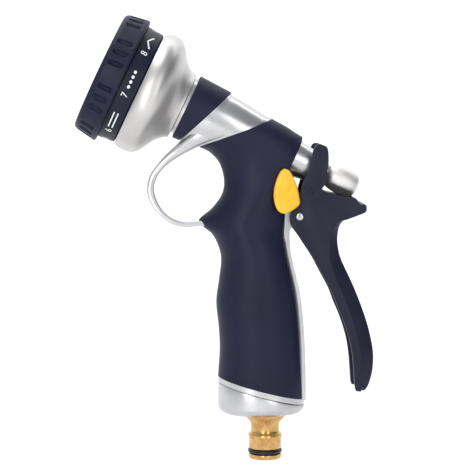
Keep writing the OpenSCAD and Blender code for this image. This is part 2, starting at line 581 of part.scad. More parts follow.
module flow_knob() color([0.75, 0.75, 0.76]) along_barrel() difference() {
    turned(concat([for (p = knob_profile) [p[0] * knob_r / 6.5, knob_s + p[1]]], [[0, knob_s - 0.4]]));
    translate([0, 0, knob_s - 13.05]) cylinder(r = insert_knob_r, h = 20);
    cylinder_at(1.3, knob_end_s - 1, knob_end_s + 4);
    cylinder_at(2.4, knob_end_s - 1, knob_end_s + 1.2);
    for (a = [32, 212]) rotate(a) translate([knob_r + 7.3, 0, knob_end_s - 3]) cylinder(r = 8.5, h = 30);
}
module knob_lock_screw() color([0.6, 0.6, 0.62]) along_barrel() {
    cylinder_at(1.25, knob_end_s + 1.1, knob_end_s + 3.9);
    cylinder_at(2.3, knob_end_s + 0.3, knob_end_s + 1.15);
}

// ---- trigger ------------------------------------------------------------------------------------
lever_front = [[22.8, 148.7], [21.7, 146.4], [20.9, 142.6], [19.1, 137], [17.2, 132.3], [15.9, 127.5],
    [15.5, 123],
    [13.2, 119.8], [11, 117], [10.8, 114], [11.9, 110.8], [15, 106.8], [18.8, 101.1], [22.6, 95.3],
        [26.9, 87.2],
    [30.7, 80.1], [33.1, 73.8], [35.6, 68], [38.2, 60.6], [39.9, 53.7], [40.9, 46.5], [41.4, 39.3],
        [42, 33], [42.8, 31.2]];
lever_back = [[44.8, 30.6], [46.8, 31.6], [48.8, 36], [50.1, 41.6], [50.6, 48.8], [49.8, 56],
    [47.5, 65.4], [44.1, 75.2],
    [40.1, 84.8], [35.6, 94.3], [34, 99.1], [33.3, 104.8], [33.8, 109.5], [35, 112.4], [37, 114.1],
        [40, 115.2], [44.5, 116.6],
    [46.6, 117.9], [46.9, 119.8], [44.6, 121], [43, 122.3], [41.8, 123.8], [40.4, 124.2], [37.4, 123.8],
        [30.6, 125],
    [27.7, 126], [25.9, 127.6], [26.1, 129.2], [28.4, 132.2], [28.9, 134.5], [28.3, 137], [28.8, 141.6],
        [28.6, 146.2],
    [27.8, 148.3], [25.6, 149.2], [24, 149.4]];
// The hollow between the cheeks, in front of the palm web.
lever_hollow = [[0, 20], [45.4, 20], [45.2, 30.5], [46.4, 36.5], [47.5, 42.2], [48, 48.8], [47.2, 55.5],
    [44.9, 64.6],
    [41.5, 74], [37.6, 83.5], [33, 93], [31.4, 98.5], [30.6, 104.8], [31.2, 110.6], [33.2, 114.8],
        [36.6, 116.9], [40.4, 117.8],
    [40.4, 118.9], [38, 119.6], [30, 121.6], [25.4, 123.6], [22.6, 126], [21.2, 128.8]];
function lever_points(list) = raise([for (p = smooth_rows(list, 2)) p]);
fork_slot = 2 * (stem_r + 0.5);
module trigger_lever() color([0.13, 0.13, 0.18]) difference() {
    union() {
        difference() {
            plate(trigger_width) polygon(concat(lever_points(lever_front), lever_points(lever_back)));
            plate(trigger_width - 2 * cheek_t) polygon(concat(raise(lever_hollow),
                [on_barrel(-27.2, -5.6), on_barrel(-26.8, 0), on_barrel(-26.6, 9), on_barrel(-20, 30),
                    [0, axis_z + 20]]));
            plate(trigger_width - 2 * cheek_t) polygon([on_barrel(-28.4, 30), on_barrel(-28.4, 6.5),
                on_barrel(-29.4, 2),
                on_barrel(-29.4, -5.5), on_barrel(-30.5, -8), on_barrel(-34, -7), on_barrel(-48.2, -7),
                    on_barrel(-48.2, 30)]);
        }
        at_xz(on_barrel(-28.7, 0.2)) pin_y(2.1, -trigger_width / 2 + cheek_t - 0.3,
            trigger_width - 2 * cheek_t + 0.6);
    }
    plate(fork_slot) polygon([on_barrel(-10, -4.5 - stem_r / 2), on_barrel(-45, -4.5 - stem_r / 2),
        on_barrel(-45, 30), on_barrel(-10, 30)]);
    at_xz(pivot) pin_y(pivot_d / 2 + run_gap, -20, 40);
}
pin_end_y = trigger_width / 2 + 0.3;
module pivot_pin() color([0.8, 0.8, 0.8]) at_xz(pivot) difference() {
    pin_y(pivot_d / 2, -pin_end_y, 2 * pin_end_y + 1);
    difference() {
        pin_y(pivot_d, pin_end_y - 0.25, 0.7);
        pin_y(pivot_d / 2 - 0.5, 0, 20);
    }
}
module pivot_clip() color([0.6, 0.6, 0.6]) at_xz(pivot) difference() {
    pin_y(pivot_d / 2 + 1.3, pin_end_y - 0.2, 0.6);
    pin_y(pivot_d / 2 - 0.48, 0, 20);
    translate([0, pin_end_y - 1, -1.2]) cube([8, 3, 2.4]);
}

// ---- hold-open latch ----------------------------------------------------------------------------
paddle = [[8.1, 138.2], [6.2, 137.1], [4.8, 134.6], [3.4, 130.4], [2.9, 126.1], [3.4, 122.4],
    [4.6, 119.3], [6.7, 117.7],
    [8.6, 117.6], [10.9, 118.6], [13.6, 120.4], [15.1, 122.3], [14.9, 124.9], [14.2, 128.4],
        [13.3, 131.8], [11.4, 135.5],
    [9.9, 137.5]];
shaft_reach = latch_face_y + 2;
module paddle_plate(side) difference() {
    translate([0, side * (latch_face_y + latch_t / 2), 0]) union() {
        plate(latch_t) polygon([for (p = smooth_rows(paddle, 2))
            latch_pivot + 0.93 * (up_spot(p) - latch_pivot)]);
        plate(latch_t - 1) polygon([for (p = smooth_rows(paddle, 2)) up_spot(p)]);
    }
    at_xz(latch_pivot) pin_y(latch_shaft_d / 2, -shaft_reach, 2 * shaft_reach);
}
module latch_paddle_left() color([1, 0.75, 0.12]) paddle_plate(-1);
module latch_paddle_right() color([1, 0.75, 0.12]) difference() {
    paddle_plate(1);
    at_xz(latch_pivot) {
        pin_y(0.8, 0, 30);
        pin_y(1.7, latch_face_y + 2.2, 5);
    }
}
module latch_shaft() color([0.7, 0.7, 0.7]) difference() {
    at_xz(latch_pivot) pin_y(latch_shaft_d / 2, -shaft_reach, 2 * shaft_reach);
    at_xz(latch_pivot) pin_y(0.8, shaft_reach - 4, 10);
}
module latch_screw() color([0.6, 0.6, 0.6]) at_xz(latch_pivot) {
    pin_y(0.75, shaft_reach - 3.9, 4.2);
    pin_y(1.6, latch_face_y + 2.25, 0.6);
}

body_casting();
neck_cover();
grip_cover();
end_cap();
tail_connector();
tail_o_ring();
inlet_washer();
inlet_filter();
head_bell();
head_manifold();
manifold_o_ring();
port_seal();
detent_spring();
detent_ball();
dial_screw();
valve_seat();
stem_bush();
stem_o_rings();
stem_wiper();
pivot_pin();
pivot_clip();
trigger_lever();
valve_stem();
valve_plug();
valve_seal();
plug_nut();
spring_clip();
return_spring();
thrust_washer();
knob_insert();
flow_knob();
knob_lock_screw();
latch_shaft();
latch_paddle_left();
latch_paddle_right();
latch_screw();
dial_body();
dial_grip_ring();
dial_face();
dial_gasket();
jet_insert();
cone_insert();
mist_insert();
screw_cap();
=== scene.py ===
# %% [markdown]
# # A hose spray nozzle, dressed for its portrait
# The engineering model already holds every piece at its real size and place. This lesson builds the pieces
# that the eye sees: soft covers, a satin casting with a finger loop, a turned brass tail, a trigger, a yellow
# latch and a marked dial. Everything is in metres, in the frame of the engineering model: +Z runs up the
# grip, the spray leaves towards -X, and the trigger is on the +X side.

# %% Load the engineering model
import math

import bpy
import bmesh
from mathutils import Matrix, Vector


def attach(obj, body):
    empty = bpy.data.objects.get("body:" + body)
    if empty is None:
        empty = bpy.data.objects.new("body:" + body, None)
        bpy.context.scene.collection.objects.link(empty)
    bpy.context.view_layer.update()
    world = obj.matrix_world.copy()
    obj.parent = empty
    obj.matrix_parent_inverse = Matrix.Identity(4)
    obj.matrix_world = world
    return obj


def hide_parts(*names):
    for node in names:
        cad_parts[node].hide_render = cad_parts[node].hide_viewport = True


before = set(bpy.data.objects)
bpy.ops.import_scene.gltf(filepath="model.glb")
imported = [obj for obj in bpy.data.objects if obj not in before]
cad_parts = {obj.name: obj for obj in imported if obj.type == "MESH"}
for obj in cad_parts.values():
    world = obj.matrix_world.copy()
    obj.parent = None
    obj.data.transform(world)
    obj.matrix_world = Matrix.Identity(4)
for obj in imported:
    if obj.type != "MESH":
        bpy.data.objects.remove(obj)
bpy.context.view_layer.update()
MM = 0.001

# %% [markdown]
# ## Camera
# A long lens from most of a metre away keeps the handle's sides straight, as in a catalogue picture. The
# camera is level with the middle of the object and looks down on it by only a few degrees.

# %% Camera
centre = Vector((-14.3, 0, 106.4)) * MM
distance, side, rise = 0.8, math.radians(-2.5), math.radians(5.2)
back = Vector((math.sin(side) * math.cos(rise), -math.cos(side) * math.cos(rise), math.sin(rise)))
camera_data = bpy.data.cameras.new("camera")
camera_data.lens = 130.1
camera_data.sensor_width = 36
camera_data.clip_start = 0.05
camera_data.clip_end = 20
camera = bpy.data.objects.new("camera", camera_data)
camera.location = centre + distance * back
camera.rotation_euler = back.to_track_quat("Z", "Y").to_euler()
bpy.context.scene.collection.objects.link(camera)
bpy.context.scene.camera = camera

# %% [markdown]
# ## Materials
# Colours are written as the hex values a designer would pick and turned to the linear values that the
# renderer works in. One helper adds a node, sets its sockets and joins its inputs.

# %% Colour and node helpers
def colour(code):
    parts = [int(code[i : i + 2], 16) / 255 for i in (1, 3, 5)]
    return tuple(c / 12.92 if c <= 0.04045 else ((c + 0.055) / 1.055) ** 2.4 for c in parts) + (1.0,)


def add(tree, kind, values=None, links=None, **settings):
    node = tree.nodes.new(kind)
    for name, value in settings.items():
        setattr(node, name, value)
    for name, value in (values or {}).items():
        node.inputs[name].default_value = value
    for name, source in (links or {}).items():
        tree.links.new(source, node.inputs[name])
    return node


def new_material(name, base, metallic=0.0, roughness=0.5, **sockets):
    material = bpy.data.materials.new(name)
    material.use_nodes = True
    shader = material.node_tree.nodes["Principled BSDF"]
    shader.inputs["Base Color"].default_value = colour(base)
    shader.inputs["Metallic"].default_value = metallic
    shader.inputs["Roughness"].default_value = roughness
    for socket, value in sockets.items():
        shader.inputs[socket.replace("_", " ")].default_value = value
    material.diffuse_color = colour(base)
    return material, material.node_tree, shader


# Grain of a real size: a noise whose cells are size_mm across.
def grain(tree, size_mm, detail=2.0, stretch=None, turn=(0, 0, 0)):
    place = add(tree, "ShaderNodeTexCoord")
    # As a texture mapping, a scale of 40 draws the noise out 40 times along that axis, after the turn.
    mapping = add(tree, "ShaderNodeMapping", {"Scale": stretch or (1, 1, 1), "Rotation": turn}, {"Vector": place.outputs["Object"]},
                  vector_type="TEXTURE")
    return add(tree, "ShaderNodeTexNoise", {"Scale": 1000 / size_mm, "Detail": detail}, {"Vector": mapping.outputs["Vector"]})


def bump(tree, shader, height, depth_mm, strength=1.0):
    node = add(tree, "ShaderNodeBump", {"Strength": strength, "Distance": depth_mm * MM}, {"Height": height})
    tree.links.new(node.outputs["Normal"], shader.inputs["Normal"])


def vary(tree, shader, socket, factor, low, high):
    node = add(tree, "ShaderNodeMapRange", {"To Min": low, "To Max": high}, {"Value": factor})
    tree.links.new(node.outputs["Result"], shader.inputs[socket])


def tint(tree, shader, factor, low, high):
    ramp = add(tree, "ShaderNodeValToRGB", None, {"Fac": factor})
    ramp.color_ramp.elements[0].position, ramp.color_ramp.elements[1].position = 0.3, 0.7
    ramp.color_ramp.elements[0].color, ramp.color_ramp.elements[1].color = colour(low), colour(high)
    tree.links.new(ramp.outputs["Color"], shader.inputs["Base Color"])


# %% [markdown]
# ### Soft covers: thermoplastic rubber, moulded
# The skin of the mould is finely sparked, so the rubber spreads each highlight into a broad band. Its grain
# is about 0.1 mm; it is drawn at 0.5 mm so that it shows at all. A slow change of colour stands for handling.

# %% Soft-touch rubber
soft_touch, tree, shader = new_material("soft_touch_rubber", "#1c1c33", 0.0, 0.42, Specular_IOR_Level=0.22)
tint(tree, shader, grain(tree, 28, 1.0).outputs["Fac"], "#191930", "#1f1f38")
skin = grain(tree, 0.5, 3.0)
bump(tree, shader, skin.outputs["Fac"], 0.03, 0.5)
vary(tree, shader, "Roughness", grain(tree, 9, 2.0).outputs["Fac"], 0.40, 0.53)

# %% [markdown]
# ### Casting: zinc, plated in satin nickel
# Satin nickel is a warm grey metal whose microscopic pits soften the reflections. The pits are finer than
# 0.1 mm; they are drawn at 0.35 mm and kept shallow.

# %% Satin nickel
satin_nickel, tree, shader = new_material("satin_nickel", "#cbcaca", 1.0, 0.3)
tint(tree, shader, grain(tree, 14, 2.0).outputs["Fac"], "#c4c3c4", "#d4d4d6")
bump(tree, shader, grain(tree, 0.35, 2.0).outputs["Fac"], 0.008, 0.6)
vary(tree, shader, "Roughness", grain(tree, 4, 3.0).outputs["Fac"], 0.25, 0.35)

# %% [markdown]
# ### Bell: spun and brushed round its axis
# A belt has run round the bell, so its scratches are circles about the spray axis. Noise that is drawn out
# across the axis and squeezed along it gives such rings; the mapping turns it to the tilt of the barrel.

# %% Brushed bell
tilt = math.radians(25.5)
brushed_nickel, tree, shader = new_material("brushed_nickel", "#cfcdca", 1.0, 0.36)
rings = grain(tree, 0.3, 3.0, (40, 40, 1), (0, tilt - math.pi / 2, 0))
bump(tree, shader, rings.outputs["Fac"], 0.0025, 0.4)
vary(tree, shader, "Roughness", rings.outputs["Fac"], 0.36, 0.48)
tint(tree, shader, grain(tree, 20, 2.0).outputs["Fac"], "#c8c6c3", "#d8d7d5")

# %% [markdown]
# ### Tail: brass, turned on a lathe
# The tool leaves fine grooves that run round the tail. They are a tenth of a millimetre apart on the real
# piece and drawn at 0.3 mm. Handling has made the colour a little uneven.

# %% Turned brass
turned_brass, tree, shader = new_material("turned_brass", "#d8ae70", 1.0, 0.24)
grooves = grain(tree, 0.3, 2.0, (30, 30, 1))
bump(tree, shader, grooves.outputs["Fac"], 0.02, 0.8)
vary(tree, shader, "Roughness", grain(tree, 2.5, 3.0).outputs["Fac"], 0.18, 0.34)
tint(tree, shader, grain(tree, 3.5, 4.0).outputs["Fac"], "#c59657", "#e2ba7c")

# %% [markdown]
# ### Trigger, dial and small pieces
# The trigger is glass-filled nylon with a sparked finish, duller than the dial's ABS. The latch is glossy
# amber ABS. Seals are nitrile rubber, the pins are steel, and the marks are pad-printed white ink.

# %% Plastics, rubber, steel and ink
trigger_nylon, tree, shader = new_material("trigger_nylon", "#1c1b30", 0.0, 0.4, Specular_IOR_Level=0.25)
tint(tree, shader, grain(tree, 12, 2.0).outputs["Fac"], "#18182b", "#201f35")
bump(tree, shader, grain(tree, 0.6, 3.0).outputs["Fac"], 0.035, 0.6)
vary(tree, shader, "Roughness", grain(tree, 5, 2.0).outputs["Fac"], 0.36, 0.5)

dial_abs, tree, shader = new_material("dial_abs", "#19192e", 0.0, 0.38, Specular_IOR_Level=0.25)
bump(tree, shader, grain(tree, 0.45, 2.0).outputs["Fac"], 0.02, 0.5)
vary(tree, shader, "Roughness", grain(tree, 7, 2.0).outputs["Fac"], 0.35, 0.47)

amber_abs, tree, shader = new_material("amber_abs", "#fdb918", 0.0, 0.34, Coat_Weight=0.12, Coat_Roughness=0.2)
tint(tree, shader, grain(tree, 6, 1.0).outputs["Fac"], "#fdb915", "#ffc528")
bump(tree, shader, grain(tree, 0.8, 1.0).outputs["Fac"], 0.01, 0.4)

nitrile, tree, shader = new_material("nitrile_rubber", "#151517", 0.0, 0.38)
bump(tree, shader, grain(tree, 0.4, 2.0).outputs["Fac"], 0.015, 0.5)

drawn_steel, tree, shader = new_material("drawn_steel", "#c6c8cb", 1.0, 0.2)
vary(tree, shader, "Roughness", grain(tree, 1.5, 2.0).outputs["Fac"], 0.14, 0.28)

polished_nickel, tree, shader = new_material("knob_nickel", "#e8e6e3", 1.0, 0.42)
bump(tree, shader, grain(tree, 0.35, 2.0).outputs["Fac"], 0.008, 0.5)
vary(tree, shader, "Roughness", grain(tree, 3, 2.0).outputs["Fac"], 0.5, 0.6)

white_ink, tree, shader = new_material("white_ink", "#f1f1ee", 0.0, 0.5)
bump(tree, shader, grain(tree, 0.4, 2.0).outputs["Fac"], 0.01, 0.4)

acetal, tree, shader = new_material("acetal", "#33333a", 0.0, 0.4)
bump(tree, shader, grain(tree, 0.6, 2.0).outputs["Fac"], 0.02, 0.4)

mesh_nylon, tree, shader = new_material("filter_nylon", "#cfcfc6", 0.0, 0.5)
bump(tree, shader, grain(tree, 0.5, 2.0).outputs["Fac"], 0.02, 0.5)
print("materials:", len(bpy.data.materials))

# %% [markdown]
# ## Working in bmesh
# A finished piece keeps its object at the origin, with its place in its mesh, so that patterns sit still.
# `piece` bakes the modifiers in, smooths what is round, keeps edges over 35 degrees crisp, parents the piece
# to the empty of the body it rides on, and hides the engineering node it stands for.

# %% Making a piece
def to_object(bm, name):
    mesh = bpy.data.meshes.new(name)
    bm.to_mesh(mesh)
    bm.free()
    thing = bpy.data.objects.new(name, mesh)
    bpy.context.scene.collection.objects.link(thing)
    return thing


def bake(thing):
    graph = bpy.context.evaluated_depsgraph_get()
    baked = bpy.data.meshes.new_from_object(thing.evaluated_get(graph))
    old = thing.data
    thing.modifiers.clear()
    thing.data = baked
    bpy.data.meshes.remove(old)


def piece(bm, name, material, body, node, wall=0.0, round_mm=0.0, steps=3, corner=35, crisp=35):
    thing = to_object(bm, name)
    if wall:
        shell = thing.modifiers.new("wall", "SOLIDIFY")
        shell.thickness, shell.offset, shell.use_even_offset = wall * MM, -1, True
    if round_mm:
        soften = thing.modifiers.new("soften", "BEVEL")
        soften.width, soften.segments, soften.limit_method = round_mm * MM, steps, "ANGLE"
        soften.angle_limit, soften.harden_normals = math.radians(corner), False
    bake(thing)
    thing.data.materials.clear()
    thing.data.materials.append(material)
    thing.data.polygons.foreach_set("use_smooth", [True] * len(thing.data.polygons))
    thing.data.set_sharp_from_angle(angle=math.radians(crisp))
    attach(thing, body)
    if node:
        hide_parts(*([node] if isinstance(node, str) else node))
    print(name, len(thing.data.polygons), "faces")
    return thing


# Joins or cuts solids. The tools are bmeshes too, and are used up.
def combine(bm, tools, operation):
    base = to_object(bm, "base")
    helpers = []
    for tool in tools:
        helper = to_object(tool, "tool")
        change = base.modifiers.new("combine", "BOOLEAN")
        change.object, change.operation, change.solver = helper, operation, "EXACT"
        helpers.append(helper)
    bake(base)
    out = bmesh.new()
    out.from_mesh(base.data)
    for thing in [base] + helpers:
        mesh = thing.data
        bpy.data.objects.remove(thing)
        bpy.data.meshes.remove(mesh)
    bmesh.ops.remove_doubles(out, verts=out.verts, dist=0.00002)
    return out


# %% [markdown]
# ## Two frames of reference
# The barrel leans 25.5 degrees above the horizontal. Points on it are easiest to give as s, millimetres
# forward along its axis, and t, millimetres above it. `barrel` and `head` carry a piece made about Z onto the
# barrel's axis and onto the dial's, which lies 2 mm lower.

# %% The barrel's frame, turned pieces and plates
barrel = Matrix.Translation((0, 0, 0.149)) @ Matrix.Rotation(tilt - math.pi / 2, 4, "Y")
head = barrel @ Matrix.Translation((-0.002, 0, 0))


def on_barrel(s, t):
    return (-math.cos(tilt) * s + math.sin(tilt) * t, 149 + math.sin(tilt) * s + math.cos(tilt) * t)


# A Catmull-Rom curve through rows of numbers.
def smooth_rows(rows, steps):
    out = []
    for i in range(len(rows) - 1):
        a, b = rows[max(i - 1, 0)], rows[i]
        c, d = rows[i + 1], rows[min(i + 2, len(rows) - 1)]
        for k in range(steps):
            f = k / steps
            out.append([0.5 * (2 * q + (r - p) * f + (2 * p - 5 * q + 4 * r - u) * f * f + (3 * q - p - 3 * r + u) * f**3)
                        for p, q, r, u in zip(a, b, c, d)])
    return out + [list(rows[-1])]


# Spins a profile of (radius, height) points in millimetres round Z.
def turned(points, place=Matrix(), steps=96, closed=False):
    bm = bmesh.new()
    row = [bm.verts.new((r * MM, 0, z * MM)) for r, z in points]
    edges = [bm.edges.new(pair) for pair in zip(row, row[1:])]
    if closed:
        edges.append(bm.edges.new((row[-1], row[0])))
    bmesh.ops.spin(bm, geom=row + edges, axis=(0, 0, 1), cent=(0, 0, 0), angle=math.tau, steps=steps, use_merge=True)
    bmesh.ops.remove_doubles(bm, verts=bm.verts, dist=0.000002)
    bmesh.ops.recalc_face_normals(bm, faces=bm.faces)
    bmesh.ops.transform(bm, matrix=place, verts=bm.verts)
    return bm


# A plate of the outline (x, z), from y0 to y1.
def plate(outline, y0, y1):
    bm = bmesh.new()
    face = bm.faces.new([bm.verts.new((x * MM, y0 * MM, z * MM)) for x, z in outline])
    grown = bmesh.ops.extrude_face_region(bm, geom=[face])
    moved = [v for v in grown["geom"] if isinstance(v, bmesh.types.BMVert)]
    bmesh.ops.translate(bm, verts=moved, vec=(0, (y1 - y0) * MM, 0))
    bmesh.ops.recalc_face_normals(bm, faces=bm.faces)
    return bm


# Joins rings of points with bridge_loops; closed rings may be capped.
def loft(rows, closed=True, capped=True):
    bm = bmesh.new()
    before = None
    for n, row in enumerate(rows):
        verts = [bm.verts.new(p) for p in row]
        edges = [bm.edges.new(pair) for pair in zip(verts, verts[1:])]
        if closed:
            edges.append(bm.edges.new((verts[-1], verts[0])))
        if before:
            bmesh.ops.bridge_loops(bm, edges=before + edges)
        if closed and capped and n in (0, len(rows) - 1):
            bm.faces.new(verts)
        before = edges
    bmesh.ops.remove_doubles(bm, verts=bm.verts, dist=0.000005)
    bmesh.ops.recalc_face_normals(bm, faces=bm.faces)
    return bm


# %% [markdown]
# ## The grip's shape
# The grip is easiest to see as a stack of slices. Each slice has a front point and a rear point in side view,
# a half width, and a roundness for its front half. A smooth curve through the slices gives the hollow over
# the finger loop, the waist under it and the belly in the palm.

# %% Slices of the grip
slices = [
    [-31.0, 147.7, 3.1, 161.0, 14.0, 2.0], [-26.2, 145.4, 12.5, 155.6, 13.2, 2.0],
    [-21.6, 140.2, 21.0, 148.0, 12.6, 2.0], [-19.5, 132.2, 20.0, 133.0, 12.6, 2.0],
    [-20.6, 125.6, 11.4, 123.5, 13.4, 2.0], [-25.2, 119.2, 11.2, 116.8, 14.2, 1.8],
    [-31.0, 114.2, 11.0, 111.0, 14.8, 1.5], [-30.2, 111.2, 10.7, 106.6, 15.2, 1.5],
    [-24.4, 106.0, 11.1, 100.2, 15.6, 1.8], [-21.0, 96.5, 12.6, 92.5, 15.8, 2.0],
    [-21.9, 85.5, 15.4, 81.0, 16.1, 2.1], [-23.2, 75.0, 16.9, 70.0, 16.4, 2.1],
    [-22.0, 62.5, 17.9, 57.0, 16.5, 2.1], [-21.6, 52.0, 18.4, 44.0, 16.5, 2.1],
    [-22.4, 39.6, 18.6, 28.6, 16.5, 2.1]]
rear_edge = [on_barrel(-14.4, 40), on_barrel(-14.4, -9.6), (8.5, 126), (8.4, 117), (7.5, 109.6), (7.9, 101.6),
             (9.2, 93.5), (11.0, 85), (12.8, 77), (14.2, 68.5), (15.1, 58.6), (15.6, 50), (16.2, 41), (17.0, 28), (17.0, 10)]


# The point at angle a on a slice: 0 is the front point, 90 the -Y side and 180 the rear point.
def slice_point(s, a, inset=0.0):
    front, rear = Vector((s[0], s[1])), Vector((s[2], s[3]))
    chord = rear - front
    u, middle = chord.normalized(), front + chord * 0.48
    c, w = math.cos(math.radians(a)), math.sin(math.radians(a))
    n = s[5] if c > 0 else 2.1
    reach = chord.length * (0.48 if c > 0 else 0.52) - inset
    p = middle + u * (-math.copysign(abs(c) ** (2 / n), c) * reach)
    across = -math.copysign(abs(w) ** (2 / n), w) * (s[4] - inset)
    return Vector((p.x, across, p.y)) * MM


# The angle at which a slice meets the cover's rear edge.
def rear_angle(s):
    front, rear = Vector((s[0], s[1])), Vector((s[2], s[3]))
    chord = rear - front
    best = 1.0
    for (x0, z0), (x1, z1) in zip(rear_edge, rear_edge[1:]):
        edge = Vector((x1 - x0, z1 - z0))
        cross = chord.x * edge.y - chord.y * edge.x
        if abs(cross) < 1e-9:
            continue
        gap = Vector((x0, z0)) - front
        f = (gap.x * edge.y - gap.y * edge.x) / cross
        g = (gap.x * chord.y - gap.y * chord.x) / cross
        if 0.5 < f < best and 0 <= g <= 1:
            best = f
    share = (best - 0.48) / 0.52
    return 180.0 if best >= 1 else math.degrees(math.acos(-(share ** (2.1 / 2))))


fine_slices = smooth_rows(slices, 6)
print("grip slices:", len(fine_slices))

# %% [markdown]
# ## Grip cover
# The rubber cover wraps the casting from the palm side forward and stops short of the bare spine. Each slice is
# drawn only as far round as the cover reaches, so its edges are clean rows of quads. A wall of 1.8 mm is
# added inwards and its rim is rounded.

# %% Grip cover
rows = []
for s in fine_slices:
    limit = rear_angle(s)
    rows.append([slice_point(s, -limit + 2 * limit * k / 72) for k in range(73)])
cover = loft(rows, closed=False)
if sum(f.normal.x * (f.calc_center_median().x + 0.002) + f.normal.y * f.calc_center_median().y for f in cover.faces) < 0:
    bmesh.ops.reverse_faces(cover, faces=cover.faces)
cut_a, cut_b = Vector(on_barrel(2.3, 12.4)), Vector(on_barrel(28.4, -14.5))
cut = (cut_b - cut_a).normalized()
bmesh.ops.bisect_plane(cover, geom=cover.verts[:] + cover.edges[:] + cover.faces[:], plane_co=(cut_a.x * MM, 0, cut_a.y * MM),
                       plane_no=(cut.y, 0, -cut.x), clear_outer=True)
grip_cover = piece(cover, "soft_grip_cover", soft_touch, "body", "grip_cover", wall=1.8, round_mm=0.55, corner=50)

# %% [markdown]
# ## Neck cover
# A second sleeve of the same rubber sits behind the bell. It is a turned sleeve, cut off at a slant.

# %% Neck cover
sleeve = turned([(14.35, 18), (14.9, 20), (15.75, 40.4), (15.85, 41)], barrel, 128)
slant_a, slant_b = Vector(on_barrel(24.2, 16.5)), Vector(on_barrel(37.6, -16.5))
across = (slant_b - slant_a).normalized()
bmesh.ops.bisect_plane(sleeve, geom=sleeve.verts[:] + sleeve.edges[:] + sleeve.faces[:], plane_co=(slant_a.x * MM, 0, slant_a.y * MM),
                       plane_no=(-across.y, 0, across.x), clear_outer=True)
neck_cover = piece(sleeve, "soft_neck_cover", soft_touch, "body", "neck_cover", wall=1.6, round_mm=0.5, corner=50)

# %% [markdown]
# ## Body casting
# Under the covers lies one casting: barrel, grip core, finger loop, a spine that shows at the back, and a
# thin lip at the foot. The loop grows out of the bare band as a flat strap and narrows as it swings down to
# the grip. Each part is a solid of its own, joined into one.

# %% Casting
core_rows = [[slice_point(s, 360 * k / 48, 1.9) for k in range(48)] for s in smooth_rows(slices, 3)]
casting = loft(core_rows)
bmesh.ops.bisect_plane(casting, geom=casting.verts[:] + casting.edges[:] + casting.faces[:],
                       plane_co=(on_barrel(-14.3, 0)[0] * MM, 0, on_barrel(-14.3, 0)[1] * MM),
                       plane_no=(math.cos(tilt), 0, -math.sin(tilt)), clear_outer=True)
bmesh.ops.holes_fill(casting, edges=[e for e in casting.edges if e.is_boundary], sides=0)
cut_back = plate([on_barrel(-14.3, 60), on_barrel(-14.3, -9.7), (11.4, 126.5), (40, 126.5), (90, 209)], -30, 30)
casting = combine(casting, [cut_back], "DIFFERENCE")

barrel_core = turned([(0, -24.0), (7.2, -24.0), (7.45, -23.7), (8.7, -14.4), (10.5, 3), (12.1, 3.0), (14.1, 21), (14.2, 41),
                      (13.9, 41.1), (13.9, 42.6), (12, 42.7), (12, 52), (0, 52)], barrel, 128)
last = slices[-1]
lip = loft([[slice_point([last[0], last[1] - d, last[2], last[3] - d] + last[4:], 360 * k / 96, 0.15) for k in range(96)]
            for d in (0, 0.4, 2.2, 2.6)])
spine_slices = smooth_rows(slices[5:], 6)
spine_rows = []
for s in spine_slices:
    start = rear_angle(s) + 1.0
    outer = [slice_point(s, start + (360 - 2 * start) * k / 24, -0.1) for k in range(25)]
    inner = [slice_point(s, start + (360 - 2 * start) * k / 24, 3.2) for k in range(24, -1, -1)]
    spine_rows.append(outer + inner)
spine = loft(spine_rows)
rear_line = [slice_point(s, 180, -0.3) / MM for s in spine_slices]
rib = plate([(p.x, p.z) for p in rear_line] + [(p.x - 5, p.z) for p in reversed(rear_line)], -6.5, 6.5)

# %% [markdown]
# The finger loop is a second loft: each row has an outer and an inner point in side view and a half width.

# %% Finger loop and band
loop_rows = [
    [-33.5, 156.5, -21.5, 151.5, 11.5, 4], [-37.2, 153.2, -28.5, 149.2, 10.2, 4], [-40.4, 150.4, -33.6, 146.9, 8.4, 4],
    [-43.9, 147.3, -38.6, 144.4, 6.6, 4], [-47.8, 143.5, -43.9, 141.2, 5.4, 4], [-51.6, 138.9, -48.2, 137.4, 4.6, 4],
    [-54.5, 134.3, -51.0, 133.4, 4.1, 4], [-55.7, 128.4, -52.2, 128.6, 3.8, 4], [-54.9, 123.5, -51.4, 124.3, 3.6, 4],
    [-52.5, 119.0, -49.6, 120.5, 3.6, 4], [-48.7, 114.9, -46.9, 117.1, 3.6, 4], [-44.4, 112.0, -43.4, 114.6, 3.6, 4],
    [-38.5, 110.4, -38.5, 113.1, 3.6, 4], [-31.5, 110.7, -31.5, 113.3, 3.6, 4], [-25.0, 110.6, -25.0, 113.6, 3.6, 4]]


def strap_point(s, a):
    front, rear = Vector((s[0], s[1])), Vector((s[2], s[3]))
    c, w = math.cos(math.radians(a)), math.sin(math.radians(a))
    p = (front + rear) / 2 + (front - rear) / 2 * math.copysign(abs(c) ** (2 / s[5]), c)
    return Vector((p.x, math.copysign(abs(w) ** (2 / s[5]), w) * s[4], p.y)) * MM


loop = loft([[strap_point(s, 360 * k / 40) for k in range(40)] for s in smooth_rows(loop_rows, 8)])
lug = plate([(4, 129), (11, 128), (14.4, 125), (16.6, 120.8)]
            + [(15.42 + 4.4 * math.cos(math.radians(a)), 115.83 + 4.4 * math.sin(math.radians(a))) for a in range(50, -131, -15)]
            + [(9, 104), (4, 104)], -7.4, 7.4)


# A thin bead on the casting beside a cover's slanting edge: a slice of a slightly larger barrel.
def bead(a, b, rows, shift):
    a, b = Vector(a), Vector(b)
    along = (b - a).normalized()
    aside = Vector((-along.y, along.x)) * shift
    a, b = a - along * 3, b + along * 1.5
    slab = plate([tuple(p) for p in (a, b, b + aside, a + aside)], -20, 20)
    return combine(turned(rows, barrel, 128), [slab], "INTERSECT")


